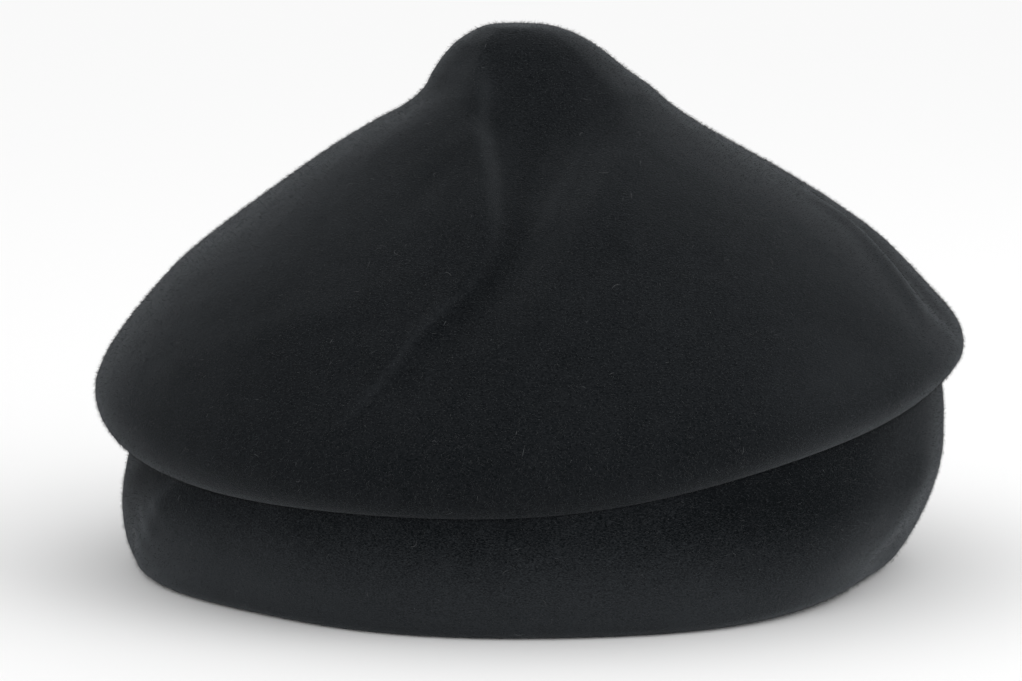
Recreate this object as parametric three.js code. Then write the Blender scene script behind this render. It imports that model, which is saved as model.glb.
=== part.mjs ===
// A cocktail hat in black velour felt: a draped crown with one deep fold, over a turned-up cuff.
// Millimetres, +Z up, the front faces -Y. The hat rests on the cuff's bottom fold at z = 0.

import * as THREE from 'three';
import { LoftGeometry } from 'three/addons/geometries/LoftGeometry.js';

// Felt

const feltThickness = 2;
const feltRoughness = 0.95;
const crownColour = 0x222426;
const cuffColour = 0x202224;

// Crown. Its widest ring is tilted, higher at its right and back, and its edge curls under from there.

const crownWidth = 240;
const crownDepth = 236;
const hatHeight = 149.5;
const ringHeight = 57.5;
const ringSideTilt = 3.2;
const ringFrontTilt = 3.4;
const ringDroop = 3;
const rollInset = 18;
const rollDrop = 15;
const rollLean = 1.5;

// Opening for the head, at the seam where the crown meets the cuff's inner ply

const headWidth = 166;
const headDepth = 188;
const seamRise = 3;
const seamLand = 4;

// Cuff

const cuffWidth = 229;
const cuffDepth = 222;
const cuffSideShift = 1;
const bottomWidth = 206;
const bottomDepth = 208;
const bottomSideShift = -4.5;
const restBand = 4;
const edgeInset = 9;
const edgeSideShift = 2;

// Clearances between the two pieces

const seamGap = 0.3;
const edgeGap = 0.6;

// Mesh fineness

const columnCount = 60;
const rowsPerSection = 2;
const rollStepCount = 4;
const searchRounds = 30;

// Sections of the crown from the tip down to its widest ring. fall is a share of the height from the
// tip to the ring, left and right are shares of half the width, front and back of half the depth.
// The deep fold crosses each section at turn degrees, spread degrees wide to each side of its valley,
// and depth is a share of foldDepth.

const foldDepth = 7;

const crownTable = [
  { fall: 0.000, left: 0.000, right: 0.000, front: 0.000, back: 0.000, turn: -86, spread: 32, depth: 0.00 },
  { fall: 0.020, left: 0.118, right: 0.080, front: 0.105, back: 0.100, turn: -86, spread: 32, depth: 0.00 },
  { fall: 0.060, left: 0.168, right: 0.145, front: 0.165, back: 0.155, turn: -86, spread: 32, depth: 0.15 },
  { fall: 0.120, left: 0.214, right: 0.206, front: 0.225, back: 0.210, turn: -86, spread: 32, depth: 0.45 },
  { fall: 0.200, left: 0.246, right: 0.288, front: 0.295, back: 0.275, turn: -86, spread: 30, depth: 0.80 },
  { fall: 0.280, left: 0.343, right: 0.353, front: 0.378, back: 0.358, turn: -84, spread: 21, depth: 1.00 },
  { fall: 0.360, left: 0.455, right: 0.452, front: 0.475, back: 0.460, turn: -88, spread: 12, depth: 1.00 },
  { fall: 0.460, left: 0.578, right: 0.574, front: 0.595, back: 0.585, turn: -90, spread: 8, depth: 0.95 },
  { fall: 0.560, left: 0.688, right: 0.690, front: 0.703, back: 0.696, turn: -94, spread: 5, depth: 0.80 },
  { fall: 0.660, left: 0.793, right: 0.797, front: 0.805, back: 0.800, turn: -98, spread: 4.5, depth: 0.70 },
  { fall: 0.760, left: 0.877, right: 0.871, front: 0.884, back: 0.880, turn: -102, spread: 4.5, depth: 0.50 },
  { fall: 0.860, left: 0.946, right: 0.938, front: 0.948, back: 0.946, turn: -107, spread: 4.5, depth: 0.30 },
  { fall: 0.940, left: 0.988, right: 0.985, front: 0.988, back: 0.988, turn: -112, spread: 4, depth: 0.12 },
  { fall: 1.000, left: 1.000, right: 1.000, front: 1.000, back: 1.000, turn: -114, spread: 4, depth: 0.00 },
];

// The deep fold's section from its left ridge to its right one. across is in spreads from the valley,
// relief in fold depths, outward where it is positive.

const foldProfile = [
  { across: -1.90, relief: 0.00 },
  { across: -1.45, relief: 0.12 },
  { across: -1.10, relief: 0.24 },
  { across: -0.70, relief: -0.40 },
  { across: -0.30, relief: -0.95 },
  { across: 0.20, relief: -0.90 },
  { across: 0.65, relief: -0.45 },
  { across: 1.05, relief: 0.10 },
  { across: 1.40, relief: 0.08 },
  { across: 1.90, relief: 0.00 },
];

// Soft folds and dents of the crown. Each lies along a line from one fall and turn to another. width
// is half its width and depth is how far it goes in, or out where negative, as shares of foldDepth.

const softFolds = [
  { name: 'neck dent', fallFrom: 0.24, turnFrom: -190, fallTo: 0.27, turnTo: -112, width: 1.0, depth: 0.32 },
  { name: 'neck kink', fallFrom: 0.33, turnFrom: -112, fallTo: 0.50, turnTo: -119, width: 0.5, depth: 0.14 },
  { name: 'left ridge', fallFrom: 0.56, turnFrom: -102, fallTo: 0.88, turnTo: -148, width: 0.9, depth: -0.12 },
  { name: 'slant valley', fallFrom: 0.44, turnFrom: -67, fallTo: 0.74, turnTo: -90, width: 0.6, depth: 0.14 },
  { name: 'slant ridge', fallFrom: 0.38, turnFrom: -56, fallTo: 0.86, turnTo: -90, width: 0.8, depth: -0.14 },
  { name: 'low ridge', fallFrom: 0.88, turnFrom: -80, fallTo: 0.78, turnTo: -46, width: 1.0, depth: -0.10 },
  { name: 'side ridge', fallFrom: 0.42, turnFrom: -7, fallTo: 1.00, turnTo: -21, width: 0.9, depth: -0.24 },
  { name: 'side channel', fallFrom: 0.46, turnFrom: 3, fallTo: 1.00, turnTo: -8, width: 1.0, depth: 0.26 },
];

// The cuff's inner ply from the head seam down to the bottom fold, and its outer ply from there up to
// the free edge. rise is a share of the ply's height, and spread goes from the bottom ring to the
// head's ring on the inner ply, and to the cuff's widest ring on the outer one.

const innerPlyTable = [
  { rise: 1.00, spread: 1.00 },
  { rise: 0.45, spread: 0.52 },
  { rise: 0.10, spread: 0.15 },
  { rise: 0.00, spread: 0.00 },
];

const outerPlyTable = [
  { rise: 0.00, spread: 0.00 },
  { rise: 0.07, spread: 0.30 },
  { rise: 0.19, spread: 0.52 },
  { rise: 0.36, spread: 0.75 },
  { rise: 0.58, spread: 0.95 },
  { rise: 0.80, spread: 0.98 },
];

// Tucks and flats of the cuff. Each stands at its turn, width degrees to each side, and goes in, or out
// where negative, by shares of tuckDepth at the bottom fold and at the free edge.

const tuckDepth = 3.5;

const tucks = [
  { name: 'front left flat', turn: -133, width: 17, low: 0.95, high: 0.05 },
  { name: 'front right flat', turn: -42, width: 20, low: 0.80, high: 0.00 },
  { name: 'left tuck', turn: -171, width: 8, low: 0.00, high: 0.50 },
  { name: 'left ridge', turn: -156, width: 6, low: 0.10, high: -0.35 },
  { name: 'right ridge', turn: -17, width: 7, low: -0.25, high: 0.05 },
  { name: 'right tuck', turn: -4, width: 7, low: 0.35, high: 0.00 },
];

const halfWidth = crownWidth / 2;
const halfDepth = crownDepth / 2;
const domeHeight = hatHeight - ringHeight;
const slopeLength = Math.hypot(halfWidth, domeHeight);
const seamHeight = ringHeight - rollDrop + seamRise;
const sideSlope = Math.tan(THREE.MathUtils.degToRad(ringSideTilt));
const frontSlope = Math.tan(THREE.MathUtils.degToRad(ringFrontTilt));

function arcLength(turn, radius) {
  return THREE.MathUtils.degToRad(turn) * radius;
}

// Degrees from one turn to another, the short way round

function turnBetween(from, to) {
  return THREE.MathUtils.euclideanModulo(to - from + 180, 360) - 180;
}

// How much the crown's tilt and droop lift a point

function tiltHeight(x, y) {
  return (x * sideSlope) + (y * frontSlope) - (ringDroop * ((y / halfDepth) ** 2));
}

// A point of a section, which is a ring with four reaches. lean is its share of the crown's tilt.

function ringPoint(section, angle) {
  const middleX = (section.right - section.left) / 2;
  const middleY = (section.back - section.front) / 2;
  const x = middleX + ((section.right + section.left) / 2) * Math.cos(angle);
  const y = middleY + ((section.back + section.front) / 2) * Math.sin(angle);
  return new THREE.Vector3(x, y, section.height + (section.lean * tiltHeight(x, y)));
}

function roundRing(width, depth, shift, height, lean) {
  return {
    left: width / 2 - shift,
    right: width / 2 + shift,
    front: depth / 2,
    back: depth / 2,
    height,
    lean,
  };
}

// A smooth value between the rows of a table, for each of its columns

function rowAt(rows, share) {
  const place = share * (rows.length - 1);
  const index = Math.min(Math.floor(place), rows.length - 2);
  const step = place - index;
  const before = rows[Math.max(index - 1, 0)];
  const start = rows[index];
  const end = rows[index + 1];
  const after = rows[Math.min(index + 2, rows.length - 1)];
  const row = {};
  for (const column of Object.keys(start)) {
    const slopeIn = (end[column] - before[column]) / 2;
    const slopeOut = (after[column] - start[column]) / 2;
    const change = end[column] - start[column];
    const square = (3 * change) - (2 * slopeIn) - slopeOut;
    const cube = slopeIn + slopeOut - (2 * change);
    row[column] = start[column] + (step * (slopeIn + (step * (square + (step * cube)))));
  }
  return row;
}

// Sections of the crown: the dome from the table, then the edge that curls under

function crownSections() {
  const sections = crownTable.map((row) => ({
    left: row.left * halfWidth,
    right: row.right * halfWidth,
    front: row.front * halfDepth,
    back: row.back * halfDepth,
    height: hatHeight - (row.fall * domeHeight),
    lean: row.fall,
    fall: row.fall,
    turn: row.turn,
    spread: row.spread,
    depth: row.depth * foldDepth,
  }));
  const ring = sections[sections.length - 1];
  for (let step = 1; step <= rollStepCount; step += 1) {
    const curl = (step / rollStepCount) * (Math.PI / 2);
    const inset = rollInset * (1 - Math.cos(curl));
    sections.push({
      ...ring,
      left: halfWidth - inset,
      right: halfWidth - inset,
      front: halfDepth - inset,
      back: halfDepth - inset,
      height: ringHeight - (rollDrop * Math.sin(curl)),
      lean: 1 + ((rollLean - 1) * Math.sin(curl)),
    });
  }
  return sections;
}

// Angles of one section's columns: the fold's own columns first, then the rest evenly round to it

function columnAngles(section) {
  const angles = foldProfile.map((row) => section.turn + (row.across * section.spread));
  const first = angles[0] + 360;
  const last = angles[angles.length - 1];
  const restCount = columnCount - angles.length;
  for (let column = 1; column <= restCount; column += 1) {
    angles.push(last + ((first - last) * (column / (restCount + 1))));
  }
  return angles;
}

// How far the soft folds press a point in, from its distance to each fold's line on the felt

function softDepth(section, turn) {
  const radius = (section.left + section.right) / 2;
  let depth = 0;
  for (const fold of softFolds) {
    const lineDown = (fold.fallTo - fold.fallFrom) * slopeLength;
    const lineRound = arcLength(fold.turnTo - fold.turnFrom, radius);
    const down = (section.fall - fold.fallFrom) * slopeLength;
    const round = arcLength(turnBetween(fold.turnFrom, turn), radius);
    const lineSquare = (lineDown ** 2) + (lineRound ** 2);
    const along = ((down * lineDown) + (round * lineRound)) / lineSquare;
    if (along > 0 && along < 1) {
      const aside = ((down * lineRound) - (round * lineDown)) / Math.sqrt(lineSquare);
      const across = aside / (fold.width * foldDepth);
      depth += fold.depth * foldDepth * Math.exp(-(across ** 2)) * (Math.sin(Math.PI * along) ** 2);
    }
  }
  return depth;
}

// A point pressed in towards the middle of the ring

function pressedIn(point, depth) {
  const middle = new THREE.Vector3(0, 0, ringHeight);
  const inward = middle.sub(point).normalize();
  return point.addScaledVector(inward, depth);
}

function crownRow(section) {
  return columnAngles(section).map((turn, column) => {
    const relief = column < foldProfile.length ? foldProfile[column].relief : 0;
    const point = ringPoint(section, THREE.MathUtils.degToRad(turn));
    return pressedIn(point, softDepth(section, turn) - (relief * section.depth));
  });
}

// The other face of a felt wall, one thickness away from a grid of rows. The tip, where a row is one
// point, faces straight up.

function otherFace(rows, side) {
  return rows.map((row, rowIndex) => row.map((point, column) => {
    const above = rows[Math.max(rowIndex - 1, 0)][column];
    const below = rows[Math.min(rowIndex + 1, rows.length - 1)][column];
    const before = row[(column + row.length - 1) % row.length];
    const after = row[(column + 1) % row.length];
    const down = below.clone().sub(above);
    const round = after.clone().sub(before);
    const atTip = round.lengthSq() === 0;
    const normal = atTip ? new THREE.Vector3(0, 0, 1) : down.cross(round).normalize();
    return point.clone().addScaledVector(normal, side * feltThickness);
  }));
}

// A loft through the rings, without the flat triangles that a ring of one point leaves

function closedLoft(rings) {
  const geometry = new LoftGeometry(rings);
  const { position } = geometry.attributes;
  const corner = (index) => new THREE.Vector3().fromBufferAttribute(position, index);
  const kept = [];
  for (let first = 0; first < geometry.index.count; first += 3) {
    const indices = [0, 1, 2].map((step) => geometry.index.getX(first + step));
    const [a, b, c] = indices.map(corner);
    if (!a.equals(b) && !b.equals(c) && !c.equals(a)) {
      kept.push(...indices);
    }
  }
  geometry.setIndex(kept);
  return geometry;
}

function feltMesh(name, geometry, color) {
  const material = new THREE.MeshStandardMaterial({ color, roughness: feltRoughness, metalness: 0 });
  const mesh = new THREE.Mesh(geometry, material);
  mesh.name = name;
  return mesh;
}

// The crown from its tip to the head opening, where it ends in a land that the cuff's inner ply meets

function crownGeometry() {
  const sections = crownSections();
  const rowCount = rowsPerSection * (sections.length - 1);
  const outer = [];
  for (let row = 0; row <= rowCount; row += 1) {
    outer.push(crownRow(rowAt(sections, row / rowCount)));
  }
  const ring = sections[sections.length - 1];
  for (const land of [seamLand, 0]) {
    const width = headWidth + (2 * land);
    const depth = headDepth + (2 * land);
    outer.push(crownRow({ ...ring, ...roundRing(width, depth, 0, seamHeight, rollLean), depth: 0 }));
  }
  const inner = otherFace(outer, -1);
  return closedLoft([...inner, ...outer.reverse()]);
}

// Height of the crown's curled edge above a point of the cuff

function edgeUnderside(x, y) {
  let low = 0;
  let high = rollInset;
  for (let round = 0; round < searchRounds; round += 1) {
    const middle = (low + high) / 2;
    const outside = ((x / (halfWidth - middle)) ** 2) + ((y / (halfDepth - middle)) ** 2) > 1;
    if (outside) {
      high = middle;
    } else {
      low = middle;
    }
  }
  const curl = Math.acos(1 - (low / rollInset));
  const lean = 1 + ((rollLean - 1) * Math.sin(curl));
  return ringHeight + (lean * tiltHeight(x, y)) - (rollDrop * Math.sin(curl));
}

// A point of the cuff moved level, in towards the middle, by the tucks at its angle

function tucked(point, angle, rise) {
  let depth = 0;
  for (const tuck of tucks) {
    const across = turnBetween(tuck.turn, THREE.MathUtils.radToDeg(angle)) / tuck.width;
    const share = tuck.low + ((tuck.high - tuck.low) * rise);
    depth += share * tuckDepth * Math.exp(-(across ** 2));
  }
  const reach = Math.hypot(point.x, point.y);
  point.x -= point.x * (depth / reach);
  point.y -= point.y * (depth / reach);
  return point;
}

// The cuff from the head seam down its inner ply, round the bottom fold and up its outer ply

function cuffGeometry() {
  const angles = [];
  for (let column = 0; column < columnCount; column += 1) {
    angles.push((column / columnCount) * 2 * Math.PI);
  }
  const bottomInner = roundRing(bottomWidth - (2 * restBand), bottomDepth - (2 * restBand),
    bottomSideShift, 0, 0);
  const bottomOuter = roundRing(bottomWidth, bottomDepth, bottomSideShift, 0, 0);
  const widest = roundRing(cuffWidth, cuffDepth, cuffSideShift, 0, 0);
  const head = roundRing(headWidth, headDepth, 0, seamHeight - seamGap, rollLean);
  const headOuter = roundRing(headWidth + (2 * feltThickness), headDepth + (2 * feltThickness), 0,
    seamHeight - seamGap, rollLean);
  const edgeWidth = crownWidth - (2 * edgeInset);
  const edgeDepth = crownDepth - (2 * edgeInset);
  const edge = roundRing(edgeWidth, edgeDepth, edgeSideShift, 0, 0);
  const edgeInner = roundRing(edgeWidth - (2 * feltThickness), edgeDepth - (2 * feltThickness),
    edgeSideShift, 0, 0);

  const edgeRow = (ring) => angles.map((angle) => {
    const point = tucked(ringPoint(ring, angle), angle, 1);
    point.z = edgeUnderside(point.x, point.y) - edgeGap;
    return point;
  });
  const innerRow = (row) => angles.map((angle) => {
    const low = tucked(ringPoint(bottomInner, angle), angle, 0);
    const high = ringPoint(head, angle);
    const point = low.clone().lerp(high, row.spread);
    point.z = high.z * row.rise;
    return point;
  });
  const outerTop = edgeRow(edge);
  const outerRow = (row) => angles.map((angle, column) => {
    const point = ringPoint(bottomOuter, angle).lerp(ringPoint(widest, angle), row.spread);
    point.z = outerTop[column].z * row.rise;
    return tucked(point, angle, row.rise);
  });

  const shown = [...innerPlyTable.map(innerRow), ...outerPlyTable.map(outerRow), outerTop];
  const hidden = otherFace(shown, 1);
  hidden[0] = angles.map((angle) => ringPoint(headOuter, angle));
  hidden[hidden.length - 1] = edgeRow(edgeInner);
  const rings = [...shown, ...hidden.reverse()];
  rings.push(rings[0]);
  return closedLoft(rings);
}

const hat = new THREE.Group();
hat.add(feltMesh('crown', crownGeometry(), crownColour));
hat.add(feltMesh('cuff', cuffGeometry(), cuffColour));

export default hat;
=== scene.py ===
"""A cocktail hat in black velour felt: a draped crown with one deep fold, over a turned-up cuff.

The crown and the cuff are made here in full fineness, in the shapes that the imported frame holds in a
plainer form, and both are covered with nap. Metres, +Z up, the front faces -Y.
"""

import logging
import math
from dataclasses import dataclass
from enum import Enum
from typing import Any

import bmesh
import bpy
import numpy as np
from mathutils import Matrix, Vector, noise


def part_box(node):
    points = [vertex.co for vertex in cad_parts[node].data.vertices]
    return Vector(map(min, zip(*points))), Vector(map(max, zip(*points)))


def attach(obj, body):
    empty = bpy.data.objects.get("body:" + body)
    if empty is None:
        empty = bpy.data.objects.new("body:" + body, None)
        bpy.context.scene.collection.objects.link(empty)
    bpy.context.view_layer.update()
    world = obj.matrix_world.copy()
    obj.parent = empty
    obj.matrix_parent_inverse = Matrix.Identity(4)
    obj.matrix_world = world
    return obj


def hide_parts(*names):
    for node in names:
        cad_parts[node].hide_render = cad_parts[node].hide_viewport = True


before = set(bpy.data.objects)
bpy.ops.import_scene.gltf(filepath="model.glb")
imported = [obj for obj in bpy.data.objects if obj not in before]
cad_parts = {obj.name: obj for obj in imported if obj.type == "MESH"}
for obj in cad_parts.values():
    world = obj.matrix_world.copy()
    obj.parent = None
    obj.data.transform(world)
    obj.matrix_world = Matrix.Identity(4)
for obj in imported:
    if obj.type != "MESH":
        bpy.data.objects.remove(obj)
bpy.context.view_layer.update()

BODY = "root"
MM = 0.001

# The felt's point layers: whether the nap shows there, and the painted highlights and painted shade
# that make its colour paler or darker.
SHOWN = "shown"
PAINTED_LIGHT_AND_SHADE = "brushed"

# What each row of a spun grid adds to the rank of its faces, which is more than a turn in radians adds.
ROW_RANK = 10

# Points of a spun grid that lie nearer than this are one.
WELD = 0.0001

# Keeps a length of nothing from dividing another length.
TINY = 1e-9

log = logging.getLogger("cocktail_hat")


def smooth_rows(rows: np.ndarray, places: np.ndarray) -> np.ndarray:
    """Reads smooth values between the rows of a table.

    Args:
        rows: The table, one entry of any shape for each row.
        places: Where to read it, counted in rows from the first.

    Returns:
        One entry for each place.
    """
    last = len(rows) - 1
    index = np.clip(np.floor(places).astype(int), 0, last - 1)
    step = (places - index).reshape(places.shape + (1,) * (rows.ndim - 1))
    before, start = rows[np.maximum(index - 1, 0)], rows[index]
    end, after = rows[index + 1], rows[np.minimum(index + 2, last)]
    slope_in, slope_out, change = (end - before) / 2, (after - start) / 2, end - start
    square = 3 * change - 2 * slope_in - slope_out
    cube = slope_in + slope_out - 2 * change
    return start + step * (slope_in + step * (square + step * cube))


def turn_between(start: float | np.ndarray, end: float | np.ndarray) -> float | np.ndarray:
    """The degrees from one turn to another, the short way round."""
    return (end - start + 180) % 360 - 180


def eased(share: np.ndarray) -> np.ndarray:
    """A share from 0 to 1 that starts and ends gently."""
    held = np.clip(share, 0, 1)
    return held * held * (3 - 2 * held)


def unevenness(points: np.ndarray, size: float, seed: float) -> np.ndarray:
    """The slow rise and fall of felt shaped by hand.

    Args:
        points: Places on the felt.
        size: How far apart the swells lie.
        seed: Which of many such patterns to take.

    Returns:
        A height from about -1 to 1 for each point.
    """
    shift = Vector((seed, -seed, seed / 2))
    return np.array([noise.noise(Vector(point) / size + shift) for point in points])


def place_in_order(face: bmesh.types.BMFace) -> float:
    """Ranks the faces of a spun grid row by row, and by their turn within each row."""
    middle = face.calc_center_median()
    return -ROW_RANK * middle.z + math.atan2(middle.y, middle.x)


def spun_grid(name: str, row_count: int, column_count: int, has_tip: bool) -> bpy.types.Object:
    """Spins a straight profile into a grid of rows and columns.

    Row k lies k units below the first, one unit from the axis. The tip is one point on the axis.

    Args:
        name: The new object's name.
        row_count: Rows of the grid, with the tip as the first of them if it has one.
        column_count: Columns round the axis.
        has_tip: True to close the first row to one point.

    Returns:
        The object, with faces that point away from the axis.
    """
    sheet = bmesh.new()
    profile = [sheet.verts.new((0 if has_tip and row == 0 else 1, 0, -row)) for row in range(row_count)]
    edges = [sheet.edges.new(pair) for pair in zip(profile, profile[1:])]
    bmesh.ops.spin(sheet, geom=profile + edges, cent=(0, 0, 0), axis=(0, 0, 1), angle=math.tau,
                   steps=column_count, use_merge=True, use_duplicate=False)
    bmesh.ops.remove_doubles(sheet, verts=sheet.verts, dist=WELD)
    bmesh.ops.recalc_face_normals(sheet, faces=sheet.faces)
    half_way = row_count / 2
    side = min(sheet.faces, key=lambda face: abs(face.calc_center_median().z + half_way))
    outward = side.calc_center_median() * Vector((1, 1, 0))
    if side.normal.dot(outward) < 0:
        bmesh.ops.reverse_faces(sheet, faces=sheet.faces)
    sheet.faces.sort(key=place_in_order)
    mesh = bpy.data.meshes.new(name)
    sheet.to_mesh(mesh)
    sheet.free()
    mesh.shade_smooth()
    grid = bpy.data.objects.new(name, mesh)
    bpy.context.scene.collection.objects.link(grid)
    return grid


def grid_places(grid: bpy.types.Object) -> tuple[np.ndarray, np.ndarray]:
    """Reads where each point of a spun grid belongs.

    Args:
        grid: The grid, as it was spun.

    Returns:
        The row of each point, and its turn in degrees.
    """
    points = mesh_points(grid.data)
    rows = np.round(-points[:, 2]).astype(int)
    return rows, np.degrees(np.arctan2(points[:, 1], points[:, 0]))


def mesh_points(mesh: bpy.types.Mesh) -> np.ndarray:
    """Reads where the points of a mesh are.

    Args:
        mesh: The mesh.

    Returns:
        A row of x, y and z for each point.
    """
    points = np.zeros(len(mesh.vertices) * 3)
    mesh.vertices.foreach_get("co", points)
    return points.reshape(-1, 3)


def place_points(mesh: bpy.types.Mesh, points: np.ndarray) -> None:
    """Moves each point of a mesh to its own row of points."""
    mesh.vertices.foreach_set("co", points.ravel())
    mesh.update()


def keep_layer(mesh: bpy.types.Mesh, name: str, values: np.ndarray) -> None:
    """Keeps one value for each point, as a named layer of the mesh."""
    layer = mesh.attributes.new(name, "FLOAT", "POINT")
    layer.data.foreach_set("value", values.astype(np.float32))


def make_face_down(mesh: bpy.types.Mesh) -> None:
    """Turns a sheet's faces so that its lowest one points down.

    Args:
        mesh: The sheet's mesh, whose faces all point to one side.
    """
    lowest = min(mesh.polygons, key=lambda face: face.center.z)
    if lowest.normal.z > 0:
        mesh.flip_normals()


def add_wall(grid: bpy.types.Object, thickness: float) -> None:
    """Gives a felt sheet its thickness, behind the side that its faces point to.

    Args:
        grid: The sheet.
        thickness: How thick the felt is.
    """
    wall = grid.modifiers.new("wall", "SOLIDIFY")
    wall.thickness = thickness
    wall.offset = -1
    wall.use_rim = True


def loose_triangles(name: str, points: np.ndarray, corners: np.ndarray) -> bpy.types.Object:
    """Joins many small shapes into one piece.

    Args:
        name: The piece's name.
        points: All the points, in rows.
        corners: The three points of each triangle.

    Returns:
        The piece.
    """
    mesh = bpy.data.meshes.new(name)
    mesh.vertices.add(len(points))
    mesh.vertices.foreach_set("co", points.ravel())
    mesh.loops.add(corners.size)
    mesh.loops.foreach_set("vertex_index", corners.ravel())
    mesh.polygons.add(len(corners))
    mesh.polygons.foreach_set("loop_start", np.arange(len(corners)) * 3)
    mesh.update(calc_edges=True)
    piece = bpy.data.objects.new(name, mesh)
    bpy.context.scene.collection.objects.link(piece)
    return piece


@dataclass(frozen=True)
class Section:
    """One section of the crown.

    fall is how far below the tip it lies, as a share of the dome's height. left, right, front and back
    are its reaches, as shares of the half width and the half depth. left_ridge, valley and right_ridge
    are the turns, in degrees, at which the deep fold crosses it, and depth is a share of fold_depth.
    """

    fall: float
    left: float
    right: float
    front: float
    back: float
    left_ridge: float
    valley: float
    right_ridge: float
    depth: float


# The dome, from its tip down to its widest ring.
CROWN_SECTIONS = (
    Section(0.000, 0.060, -0.060, 0.000, 0.000, -126.5, -86, -50, 0.00),
    Section(0.005, 0.098, 0.031, 0.070, 0.066, -126.5, -86, -50, 0.00),
    Section(0.020, 0.126, 0.082, 0.108, 0.102, -126.5, -86, -50, 0.06),
    Section(0.050, 0.163, 0.132, 0.152, 0.144, -126.5, -86, -50, 0.22),
    Section(0.090, 0.193, 0.178, 0.190, 0.180, -126.5, -86, -50, 0.44),
    Section(0.140, 0.221, 0.226, 0.238, 0.222, -126.5, -86.5, -50, 0.66),
    Section(0.190, 0.243, 0.278, 0.288, 0.268, -126, -87, -51, 0.82),
    Section(0.240, 0.289, 0.321, 0.336, 0.316, -121.5, -87.5, -53, 0.92),
    Section(0.300, 0.376, 0.383, 0.404, 0.386, -110.5, -88, -58, 0.95),
    Section(0.370, 0.470, 0.469, 0.488, 0.473, -103.5, -89, -68, 0.90),
    Section(0.460, 0.576, 0.581, 0.600, 0.588, -100.5, -90.5, -77, 0.72),
    Section(0.560, 0.688, 0.697, 0.706, 0.698, -100, -92.5, -83, 0.50),
    Section(0.660, 0.794, 0.788, 0.804, 0.798, -104, -97, -88, 0.36),
    Section(0.760, 0.876, 0.866, 0.884, 0.878, -109, -103, -95, 0.27),
    Section(0.860, 0.945, 0.932, 0.946, 0.944, -112, -107.5, -101, 0.18),
    Section(0.940, 0.986, 0.981, 0.986, 0.986, -116, -112, -107, 0.08),
    Section(1.000, 1.000, 1.000, 1.000, 1.000, -118, -115.5, -112, 0.00),
)

# The deep fold's section. across is 0 in the valley, -1 on the left ridge and 1 on the right one, and
# relief is in fold depths, outward where it is positive.
FOLD_PROFILE = (
    (-2.40, 0.00),
    (-1.75, 0.04),
    (-1.30, 0.13),
    (-1.02, 0.22),
    (-0.89, 0.17),
    (-0.75, -0.20),
    (-0.60, -0.60),
    (-0.45, -0.80),
    (-0.25, -0.92),
    (0.00, -0.97),
    (0.22, -0.88),
    (0.42, -0.66),
    (0.62, -0.41),
    (0.80, -0.21),
    (0.94, -0.05),
    (1.04, 0.03),
    (1.18, 0.05),
    (1.45, 0.03),
    (1.90, 0.01),
    (2.40, 0.00),
)


@dataclass(frozen=True)
class SoftFold:
    """A soft fold on the crown, or a mark of painted highlight or painted shade on it.

    Each station of its line is a fall, as a section has it, and a turn in degrees. width is half its
    width, in fold depths. A fold's depth is how far it goes in, in fold depths, and a mark's is how
    much paler its colour is painted. A ridge and a mark of painted shade are negative. fade_in and
    fade_out are the shares of the line over which it rises and dies away.
    """

    name: str
    line: tuple[tuple[float, float], ...]
    width: float
    depth: float
    fade_in: float = 0.5
    fade_out: float = 0.5


# The deep fold's two crests, as stations of fall and turn.
LEFT_CREST = (
    (0.10, -116), (0.143, -116.5), (0.19, -116.5), (0.235, -113), (0.272, -107.5), (0.31, -103),
    (0.355, -100), (0.402, -98.5), (0.448, -97.5), (0.494, -97), (0.535, -97.5), (0.585, -98.5),
    (0.625, -100), (0.67, -103), (0.723, -106), (0.796, -108.5), (0.871, -111.5), (0.95, -115.5),
)
RIGHT_CREST = (
    (0.20, -55), (0.248, -64.5), (0.30, -72.5), (0.384, -80.5), (0.453, -85.5), (0.522, -90),
    (0.59, -93.5), (0.655, -97.5),
)

# The forms that lie over the dome and its deep fold.
SOFT_FOLDS = (
    SoftFold("neck fullness", ((0.22, -162), (0.25, -148), (0.28, -134), (0.31, -122)), 2.2, -0.10),
    SoftFold("left crest", LEFT_CREST[8:], 0.28, -0.10, 0.15, 0.35),
    SoftFold("right crest", RIGHT_CREST, 0.30, -0.05),
    SoftFold("neck kink", ((0.33, -112), (0.40, -115), (0.50, -119)), 0.7, 0.06),
    SoftFold("left ridge", ((0.56, -102), (0.66, -118), (0.77, -136), (0.90, -150)), 0.9, -0.10),
    SoftFold("slant valley", (
        (0.44, -67), (0.532, -75), (0.574, -77), (0.652, -83), (0.74, -90),
    ), 0.6, 0.12),
    SoftFold("slant ridge", (
        (0.38, -56), (0.476, -63), (0.555, -71), (0.66, -78), (0.76, -84), (0.86, -91),
    ), 0.8, -0.10),
    SoftFold("low ridge", ((0.88, -80), (0.83, -70), (0.80, -54), (0.78, -44)), 1.0, -0.10),
    SoftFold("side ridge", (
        (0.42, -8), (0.53, -11), (0.60, -11), (0.68, -14), (0.80, -18), (0.93, -20),
    ), 0.75, -0.18, 0.4, 0.25),
    SoftFold("side channel", (
        (0.46, -2), (0.56, -3), (0.66, -6), (0.78, -9), (0.90, -11), (1.00, -12),
    ), 0.85, 0.25, 0.4, 0.3),
    SoftFold("side return", ((0.56, 8), (0.66, 5), (0.76, 2), (0.92, 0)), 0.9, -0.10),
)
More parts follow.
